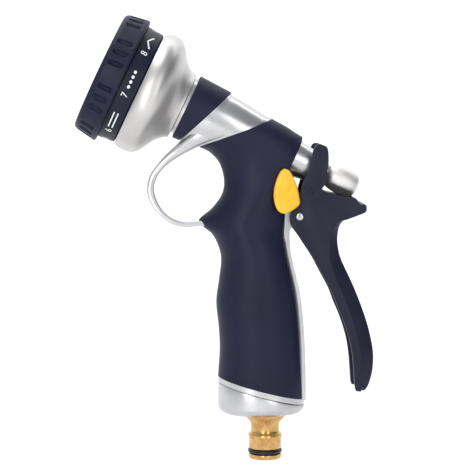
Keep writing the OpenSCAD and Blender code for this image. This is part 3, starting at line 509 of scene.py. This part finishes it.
neck_bead = bead(on_barrel(24.2, 16.5), on_barrel(37.6, -16.5), [(0, 15), (14.6, 15), (15.2, 45), (0, 45)], 0.9)
grip_bead = bead(on_barrel(2.3, 12.4), on_barrel(28.4, -14.5), [(0, -2), (12.1, -2), (14.65, 21), (15.1, 40), (0, 40)], -0.9)
casting = combine(casting, [barrel_core, lip, spine, rib, loop, lug], "UNION")
stem_bore = turned([(0, -30), (4.2, -30), (4.2, -18), (0, -18)], barrel, 48)
front_bore = turned([(0, 44), (9.1, 44), (9.1, 60), (0, 60)], barrel, 48)
foot_bore = turned([(0, 10), (9, 10), (9, 41), (0, 41)], steps=48)
casting = combine(casting, [stem_bore, front_bore, foot_bore], "DIFFERENCE")
casting = combine(casting, [neck_bead, grip_bead], "UNION")
body = piece(casting, "body_casting_skin", satin_nickel, "body", "body_casting", crisp=32)

# %% [markdown]
# ## End cap
# The foot of the grip is closed by a cap of the same satin metal, with a thin dark seam under the casting's
# lip. Its sides follow the last slice and then turn in to a flat base.

# %% End cap
cap_rows = []
for k in range(-2, 13):
    a = max(k, 0) * 90 / 12
    pull, sink = 6 * (1 - math.cos(math.radians(a))), math.sin(math.radians(a))
    front_z = 36.7 if k < -1 else 32.0 if k < 0 else 25.5 - 4 * sink
    rear_z = 25.7 if k < -1 else 25.6 if k < 0 else 25.5 - 4 * sink
    cap_rows.append([slice_point([last[0] + 0.1 + pull, front_z, last[2] - 0.1 - pull, rear_z, 16.4 - pull, 2.1], 360 * j / 96)
                     for j in range(96)])
cap_rows.append([Vector((math.cos(math.radians(a)) * -9.1, math.sin(math.radians(a)) * -9.1, 21.5)) * MM
                 for a in [360 * j / 96 for j in range(96)]])
end_cap = piece(loft(cap_rows, capped=False), "end_cap_shell", satin_nickel, "body", "end_cap", wall=1.8, round_mm=0.3, corner=50)

# %% [markdown]
# ## Hose tail
# The push-fit tail is turned from brass bar: a nose, a groove for the seal ring, a collar that the hose
# connector locks behind, a neck, and a flare under the grip. A profile spun round Z with small rounded edges
# gives the double highlights of turned metal.

# %% Tail and its seal
tail_profile = [(4.75, 0), (7.2, 0), (7.55, 0.12), (7.75, 0.45), (7.75, 2.1), (7.6, 2.25), (5.85, 2.25), (5.85, 4.85), (7.5, 4.85),
                (7.6, 5.0), (7.6, 9.6), (7.9, 10.2), (7.9, 11.6), (7.2, 12.2), (6.75, 12.7), (6.65, 13.2), (6.65, 16.0),
                (6.9, 16.9), (7.6, 18.0), (8.9, 19.4), (9.5, 20.1), (9.8, 20.8), (9.9, 21.45), (8.9, 21.46), (8.9, 38), (4.75, 38)]
tail = piece(turned(tail_profile, steps=128, closed=True), "brass_tail", turned_brass, "body", "tail_connector",
             round_mm=0.12, steps=2, corner=25, crisp=50)
seal_row = [(7.0 + 1.1 * math.cos(a), 3.55 + 1.1 * math.sin(a)) for a in [math.tau * k / 24 for k in range(24)]]
tail_seal = piece(turned(seal_row, steps=96, closed=True), "tail_seal_ring", nitrile, "body", "tail_o_ring", crisp=80)

# %% [markdown]
# ## Bell
# The bell grows out of the slim neck in an ogee and swells to the width of the dial. Its centre drops by 2 mm
# on the way, so it is lofted from circles rather than spun. A wall is added inwards.

# %% Bell
bell_rows = [[42.9, 15.9, -0.7], [44.6, 16.5, -0.9], [46.5, 17.8, -1.3], [48.6, 19.9, -1.7], [50.6, 22.9, -2.2],
             [52.4, 25.7, -2.2], [54.4, 27.9, -2.0], [56.6, 29.1, -1.7], [59.6, 29.4, -1.6], [62.4, 28.8, -1.8], [64.3, 27.9, -2.0]]
bell_rings = [[barrel @ (Vector((t + r * math.cos(a), r * math.sin(a), s)) * MM) for a in [math.tau * k / 128 for k in range(128)]]
              for s, r, t in smooth_rows(bell_rows, 5)]
bell = loft(bell_rings, capped=False)
flange = turned([(12.1, 42.9), (15.4, 42.9), (15.4, 44.8), (12.1, 44.8)], barrel, 96, closed=True)
bell_piece = piece(bell, "bell_shell", brushed_nickel, "body", None, wall=1.5, round_mm=0.35, corner=50)
flange_piece = piece(flange, "bell_flange", brushed_nickel, "body", "head_bell", round_mm=0.2)

# %% [markdown]
# ## Dial
# The dial is an ABS body with a printed ring, a rubber grip ring moulded over it, and a face plate with the
# spray patterns. The grip ring is spun with many segments, and its short finger scallops, three between
# each pair of marks, are pressed in by moving its vertices.

# %% Dial body and grip ring
dial_body = turned([(5.1, 62), (26.0, 62), (26.0, 64.5), (27.0, 64.6), (27.35, 65.0), (28.0, 72.6), (25.9, 72.65), (25.9, 79), (5.1, 79)],
                   head, 128, closed=True)
dial_piece = piece(dial_body, "dial_body_ring", dial_abs, "dial", "dial_body", round_mm=0.25, corner=30)

ring_rows = [(25.95, 72.7), (29.6, 72.7), (30.25, 72.9), (30.6, 73.5)]
ring_rows += [(30.6 - 1.5 * k / 18, 73.5 + 9.1 * k / 18) for k in range(1, 19)]
ring_rows += [(28.75, 83.4), (28.2, 84.1), (27.6, 84.45), (27.0, 84.5), (25.4, 84.5), (25.2, 84.3), (25.2, 82.95), (25.95, 82.95)]
grip_ring = turned(ring_rows, Matrix(), 480, closed=True)


# How deep the scallops press at an angle in degrees and a height.
def scallop(angle, s):
    nearest = min(abs((angle - (k + 0.5) * 45 - j * 10.8 + 180) % 360 - 180) for k in range(8) for j in (-1, 0, 1))
    across = max(0.0, 1 - (nearest / 2.7) ** 2)
    along = max(0.0, min(1.0, (s - 74.6) / 1.6)) * max(0.0, min(1.0, (82.4 - s) / 1.6))
    return 1.5 * across * along * along * (3 - 2 * along)


for v in grip_ring.verts:
    r = math.hypot(v.co.x, v.co.y)
    if r > 0.0285:
        depth = scallop(math.degrees(math.atan2(v.co.y, v.co.x)), v.co.z / MM) * MM
        v.co.x *= (r - depth) / r
        v.co.y *= (r - depth) / r
bmesh.ops.transform(grip_ring, matrix=head, verts=grip_ring.verts)
ring_piece = piece(grip_ring, "dial_rubber_ring", soft_touch, "dial", "dial_grip_ring", crisp=50)

# %% [markdown]
# ## Printed marks
# Each spray pattern has a white mark on the ring: a number and a small pictogram, which stand in for words.
# A flat mark is made about the origin, thickened, and bent round the ring by turning its width into an angle.

# %% Marks
def wrap(bm, turn):
    for v in bm.verts:
        s = 68.9 + v.co.y / MM
        angle = math.radians(turn) + v.co.x / MM / 27.6
        r = 27.39 + 0.65 * (s - 65.0) / 7.6 + v.co.z / MM
        v.co = head @ (Vector((r * math.cos(angle), r * math.sin(angle), s)) * MM)


def bar(bm, x, y, w, h, turn=0.0):
    place = Matrix.Translation((x * MM, y * MM, 0)) @ Matrix.Rotation(math.radians(turn), 4, "Z")
    place = place @ Matrix.Diagonal((w * MM, h * MM, 0.08 * MM, 1))
    bmesh.ops.create_cube(bm, size=1, matrix=place)


def dot(bm, x, y, r):
    bmesh.ops.create_cone(bm, cap_ends=True, segments=16, radius1=r * MM, radius2=r * MM, depth=0.08 * MM,
                          matrix=Matrix.Translation((x * MM, y * MM, 0)))


def pictogram(bm, kind):
    if kind == 0:
        bar(bm, 3.4, 0, 7.0, 0.75)
    elif kind == 1:
        for i in range(5):
            for j in (-1, 0, 1):
                dot(bm, 0.8 + 1.4 * i, 0.95 * j, 0.33)
    elif kind == 2:
        for turn, y in ((14, 0.85), (0, 0), (-14, -0.85)):
            bar(bm, 3.6, y, 6.2, 0.5, turn)
    elif kind == 3:
        for i in range(6):
            dot(bm, 0.6 + 1.15 * i, 0.7 if i % 2 else -0.7, 0.28)
    elif kind == 4:
        for i in range(3):
            bar(bm, 1.4 + 2.2 * i, 0, 0.6, 2.6, 20)
    elif kind == 5:
        bar(bm, 3.4, 0.8, 7.0, 0.5)
        bar(bm, 3.4, -0.8, 7.0, 0.5)
    elif kind == 6:
        for i in range(4):
            dot(bm, 0.9 + 1.8 * i, 0, 0.6)
    else:
        bar(bm, 2.0, 0, 3.6, 0.6, 30)
        bar(bm, 5.2, 0, 3.6, 0.6, -30)


marks = bmesh.new()
for n in range(8):
    letters = bpy.data.curves.new("number", "FONT")
    letters.body, letters.size, letters.extrude = str(n + 1), 4.4 * MM, 0.04 * MM
    letters.align_x, letters.align_y, letters.resolution_u = "CENTER", "CENTER", 3
    holder = bpy.data.objects.new("number", letters)
    bpy.context.scene.collection.objects.link(holder)
    bpy.context.view_layer.update()
    flat = bpy.data.meshes.new_from_object(holder.evaluated_get(bpy.context.evaluated_depsgraph_get()))
    mark = bmesh.new()
    mark.from_mesh(flat)
    bpy.data.objects.remove(holder)
    bpy.data.curves.remove(letters)
    bpy.data.meshes.remove(flat)
    bmesh.ops.translate(mark, verts=mark.verts, vec=(-5.0 * MM, 0, 0))
    sign = bmesh.new()
    pictogram(sign, n)
    bmesh.ops.transform(sign, matrix=Matrix.Diagonal((1.35, 1.15, 1, 1)) @ Matrix.Translation((-1.6 * MM, 0, 0)), verts=sign.verts)
    join = bpy.data.meshes.new("sign")
    sign.to_mesh(join)
    sign.free()
    mark.from_mesh(join)
    bpy.data.meshes.remove(join)
    bmesh.ops.remove_doubles(mark, verts=mark.verts, dist=0.000002)
    bmesh.ops.triangulate(mark, faces=mark.faces)
    bmesh.ops.subdivide_edges(mark, edges=[e for e in mark.edges if e.calc_length() > 0.0012], cuts=2)
    wrap(mark, 45 * n)
    copy = bpy.data.meshes.new("mark")
    mark.to_mesh(copy)
    mark.free()
    marks.from_mesh(copy)
    bpy.data.meshes.remove(copy)
mark_piece = piece(marks, "dial_marks", white_ink, "dial", None, crisp=30)

# %% [markdown]
# ## Trigger
# The trigger is a nylon channel: two flat cheeks joined by a web at the palm side, whose corners are cut back
# in a broad bevel. Above the pivot the cheeks flank the valve stem, and a nose on the web pushes the knob. The
# outline is extruded, its palm edges are bevelled, and the channel, the knob's room and the stem's slot are
# cut out.

# %% Trigger lever
lever_front = [(22.8, 148.7), (21.7, 146.4), (20.9, 142.6), (19.1, 137), (17.2, 132.3), (15.9, 127.5), (15.5, 123), (13.2, 119.8),
               (11, 117), (10.8, 114), (11.9, 110.8), (15, 106.8), (18.8, 101.1), (22.6, 95.3), (26.9, 87.2), (30.7, 80.1),
               (33.1, 73.8), (35.6, 68), (38.2, 60.6), (39.9, 53.7), (40.9, 46.5), (41.4, 39.3), (41.8, 34.8), (42.3, 33.4)]
lever_back = [(44.4, 33.1), (46.4, 33.2), (48.3, 35.8), (50.0, 41.6), (50.6, 48.8), (49.8, 56), (47.5, 65.4), (44.1, 75.2),
              (40.1, 84.8), (35.6, 94.3), (34, 99.1), (33.3, 104.8), (33.8, 109.5), (35, 112.4), (37, 114.1)]
lever_horn = [(40, 115.2), (44.5, 116.9), (46.4, 118.0), (46.7, 120.2), (45.9, 121.4), (44.0, 121.3), (42.9, 122.4), (41.9, 124.0), (40.2, 124.6),
              (36.8, 124.9), (31.0, 126.3), (28.0, 127.1), (26.1, 128.2), (26.1, 129.2), (28.4, 132.2), (28.9, 134.5), (28.3, 137),
              (28.8, 141.6), (28.6, 146.2), (27.8, 148.3), (25.6, 149.2), (24, 149.4)]
front_path, back_path, horn_path = smooth_rows(lever_front, 3), smooth_rows(lever_back, 3), smooth_rows(lever_horn, 3)
outline = front_path + back_path + horn_path


# The outline with its palm side drawn in, which gives the broad facet down the back of each cheek.
def drawn_in():
    out = list(front_path)
    for i, (x, z) in enumerate(back_path):
        a, b = back_path[max(i - 1, 0)], back_path[min(i + 1, len(back_path) - 1)]
        along = (Vector(b) - Vector(a)).normalized()
        share = i / (len(back_path) - 1)
        depth = 6.2 * min(1, share / 0.12) * min(1, (1 - share) / 0.42) ** 0.8
        out.append((x - along.y * depth, z + along.x * depth))
    return out + horn_path


lever = loft([[(x * MM, y * MM, z * MM) for x, z in ring]
              for ring, y in ((drawn_in(), -10.5), (outline, -7.4), (outline, 7.4), (drawn_in(), 10.5))])
channel = [(0, 20), (45.4, 20), (45.2, 30.5), (46.4, 36.5), (47.5, 42.2), (48, 48.8), (47.2, 55.5), (44.9, 64.6), (41.5, 74),
           (37.6, 83.5), (33, 93), (31.4, 98.5), (30.6, 104.8), (31.2, 110.6), (33.2, 114.8), (36.6, 116.9), (40.4, 117.8),
           (40.4, 118.9), (38, 119.6), (30, 121.6), (25.4, 123.6), (22.6, 126), (21.2, 128.8)]
channel += [on_barrel(-27.2, -5.6), on_barrel(-26.8, 0), on_barrel(-26.6, 9), on_barrel(-20, 30), (0, 169)]
knob_room = [on_barrel(-28.4, 30), on_barrel(-28.4, 6.5), on_barrel(-29.4, 2), on_barrel(-29.4, -5.5), on_barrel(-30.5, -8),
             on_barrel(-34, -7), on_barrel(-48.2, -7), on_barrel(-48.2, 30)]
slot = [on_barrel(-10, -5.5), on_barrel(-45, -5.5), on_barrel(-45, 30), on_barrel(-10, 30)]
lever = combine(lever, [plate(channel, -7.8, 7.8), plate(knob_room, -7.8, 7.8)], "DIFFERENCE")
side_on = Matrix.Rotation(math.pi / 2, 4, "X")
nose_x, nose_z = on_barrel(-28.7, 0.2)
nose = turned([(0, -8.1), (2.1, -8.1), (2.1, 8.1), (0, 8.1)], Matrix.Translation((nose_x * MM, 0, nose_z * MM)) @ side_on, 32)
lever = combine(lever, [nose], "UNION")
pivot_place = Matrix.Translation((15.42 * MM, 0, 115.83 * MM)) @ side_on
pin_hole = turned([(0, -15), (1.85, -15), (1.85, 15), (0, 15)], pivot_place, 48)
dimple = turned([(0, 9.9), (1.1, 10.1), (1.5, 11), (0, 11)], Matrix.Translation((21.3 * MM, 0, 128.1 * MM)) @ side_on, 32)
lever = combine(lever, [plate(slot, -2.5, 2.5), pin_hole, dimple], "DIFFERENCE")
bmesh.ops.remove_doubles(lever, verts=lever.verts, dist=0.00008)
lever_piece = piece(lever, "trigger_channel", trigger_nylon, "trigger", "trigger_lever", round_mm=0.45, steps=3, corner=40, crisp=20)

# %% [markdown]
# ## Pivot pin
# A bright steel pin carries the trigger. Its near end is slightly domed, and a clip holds the far end.

# %% Pivot pin
pin = turned([(0, -11.8), (1.6, -11.8), (1.8, -11.6), (1.8, 10.75), (1.6, 11.0), (1.0, 11.15), (0, 11.2)], pivot_place, 48)
pin_piece = piece(pin, "pivot_pin_domed", drawn_steel, "body", "pivot_pin", crisp=50)

# %% [markdown]
# ## Latch
# The amber paddle on each side is a small moulded leaf. Its face is inset twice and raised a little each time,
# which gives the low crown that catches the light.

# %% Latch paddles
paddle = [(8.7, 137.5), (6.9, 136.3), (5.5, 133.7), (4.1, 129.5), (3.6, 125.2), (4.1, 121.5), (5.3, 118.4), (7.4, 116.8), (9.3, 116.7),
          (11.6, 117.7), (14.3, 119.5), (15.8, 121.4), (15.6, 124), (14.9, 127.5), (14, 130.9), (12.1, 134.6), (10.6, 136.7)]
outline = [(x - 0.7, z + 0.9) for x, z in smooth_rows(paddle + [paddle[0]], 4)[:-1]]
mid_x, mid_z = sum(x for x, z in outline) / len(outline), sum(z for x, z in outline) / len(outline)
for name, node, sign in (("latch_paddle_near", "latch_paddle_left", -1), ("latch_paddle_far", "latch_paddle_right", 1)):
    rows = [[((mid_x + (x - mid_x) * share) * MM, sign * y * MM, (mid_z + (z - mid_z) * share) * MM) for x, z in outline]
            for share, y in ((0.97, 13.05), (1, 13.3), (1, 14.7), (0.99, 15.05), (0.96, 15.35), (0.9, 15.6), (0.78, 15.8), (0.6, 15.92),
                             (0.35, 15.98), (0.1, 16.0))]
    paddle_piece = piece(loft(rows), name, amber_abs, "latch", node, crisp=60)

# %% [markdown]
# ## Flow knob
# The knob that sets the flow is a smooth barrel with two finger flats scooped out of it. It is spun, and the
# scoops are pressed in by moving vertices towards its axis.

# %% Flow knob
knob_rows = smooth_rows([(0, -47.75), (2.4, -47.7), (4.3, -47.0), (5.6, -45.4), (6.3, -42.4), (6.5, -38.8), (6.1, -35.6), (5.2, -33.2),
                         (4.3, -32.1), (3.6, -31.75)], 4)
knob = turned([(max(0, r), s) for r, s in knob_rows] + [(3.6, -44), (0, -44)], Matrix(), 144)
for v in knob.verts:
    r = math.hypot(v.co.x, v.co.y)
    s = v.co.z / MM
    if r > 0.0040 and -46.9 < s < -34.0:
        angle = math.degrees(math.atan2(v.co.y, v.co.x))
        for at in (-148, 32):
            off = abs((angle - at + 180) % 360 - 180)
            across = max(0.0, 1 - (off / 34) ** 2) ** 1.5
            along = min(1.0, (s + 46.9) / 3, (-34.0 - s) / 3)
            depth = 1.3 * across * along * along * (3 - 2 * along) * MM
            v.co.x *= (r - depth) / r
            v.co.y *= (r - depth) / r
bmesh.ops.transform(knob, matrix=barrel, verts=knob.verts)
knob_piece = piece(knob, "flow_knob_smooth", polished_nickel, "knob", "flow_knob", crisp=50)

# %% [markdown]
# ## Pieces that keep their engineering shape
# Pins, seals, springs, inserts and the face plate already have the right shape. They only get a finish.

# %% Finishes for the remaining nodes
finishes = {
    turned_brass: ["valve_seat", "stem_bush", "valve_plug", "plug_nut", "jet_insert", "cone_insert",
                   "mist_insert"],
    nitrile: ["inlet_washer", "manifold_o_ring", "port_seal", "stem_o_rings", "stem_wiper", "valve_seal", "dial_gasket"],
    drawn_steel: ["detent_spring", "detent_ball", "dial_screw", "pivot_clip", "valve_stem", "spring_clip", "return_spring",
                  "knob_lock_screw", "latch_shaft", "latch_screw", "thrust_washer", "knob_insert"],
    dial_abs: ["dial_face", "screw_cap"], acetal: ["head_manifold"], mesh_nylon: ["inlet_filter"]}
for material, names in finishes.items():
    for name in names:
        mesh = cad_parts[name].data
        mesh.materials.clear()
        mesh.materials.append(material)

# %% [markdown]
# ## Studio
# A white sweep runs under and behind the nozzle. Two large soft boxes and a top light give the broad
# highlights of catalogue light; the surroundings grow darker to the right, which puts the grey bands into
# the metal.

# %% Floor and lights
paper, tree, shader = new_material("studio_paper", "#f7f7f7", 0.0, 0.9)


def sheet(name, corners, material):
    bm = bmesh.new()
    bm.faces.new([bm.verts.new(c) for c in corners])
    thing = to_object(bm, name)
    thing.data.materials.append(material)
    return thing


sweep = bmesh.new()
path = [(-4.0, -0.03)] + [(1.2 + 0.8 * math.sin(math.radians(a)), -0.03 + 0.8 * (1 - math.cos(math.radians(a)))) for a in range(0, 91, 6)]
path += [(2.0, 3.0)]
rows = [[(x, y, z) for x in (-4.0, 4.0)] for y, z in path]
sweep = loft(rows, closed=False)
backdrop = to_object(sweep, "paper_sweep")
backdrop.data.materials.append(paper)
backdrop.data.polygons.foreach_set("use_smooth", [True] * len(backdrop.data.polygons))


def soft_box(name, place, target, size, power):
    data = bpy.data.lights.new(name, "AREA")
    data.shape, data.size, data.size_y, data.energy = "RECTANGLE", size[0], size[1], power
    light = bpy.data.objects.new(name, data)
    light.location = place
    light.rotation_euler = (Vector(place) - Vector(target)).to_track_quat("Z", "Y").to_euler()
    bpy.context.scene.collection.objects.link(light)


middle = (-0.01, 0, 0.11)
soft_box("key", (-0.25, -0.70, 0.26), middle, (0.16, 0.6), 1.7)
soft_box("strip", (0.30, -0.66, 0.24), middle, (0.09, 0.55), 0.8)
soft_box("top", (-0.15, -0.1, 0.95), middle, (0.6, 0.3), 2.2)
soft_box("paper_light", (0.3, 0.9, 1.7), (0.3, 1.9, 0.3), (5.0, 1.0), 44)
world = bpy.data.worlds.new("studio")
world.use_nodes = True
tree = world.node_tree
room = add(tree, "ShaderNodeSeparateXYZ", links={"Vector": add(tree, "ShaderNodeTexCoord").outputs["Generated"]})
glow = add(tree, "ShaderNodeMapRange", {"From Min": 0.1, "From Max": 0.95, "To Min": 0.66, "To Max": 0.16}, {"Value": room.outputs["X"]})
tree.links.new(glow.outputs["Result"], tree.nodes["Background"].inputs["Strength"])
tree.nodes["Background"].inputs["Color"].default_value = colour("#eceef3")
bpy.context.scene.world = world
bpy.context.scene.view_settings.view_transform = "Standard"
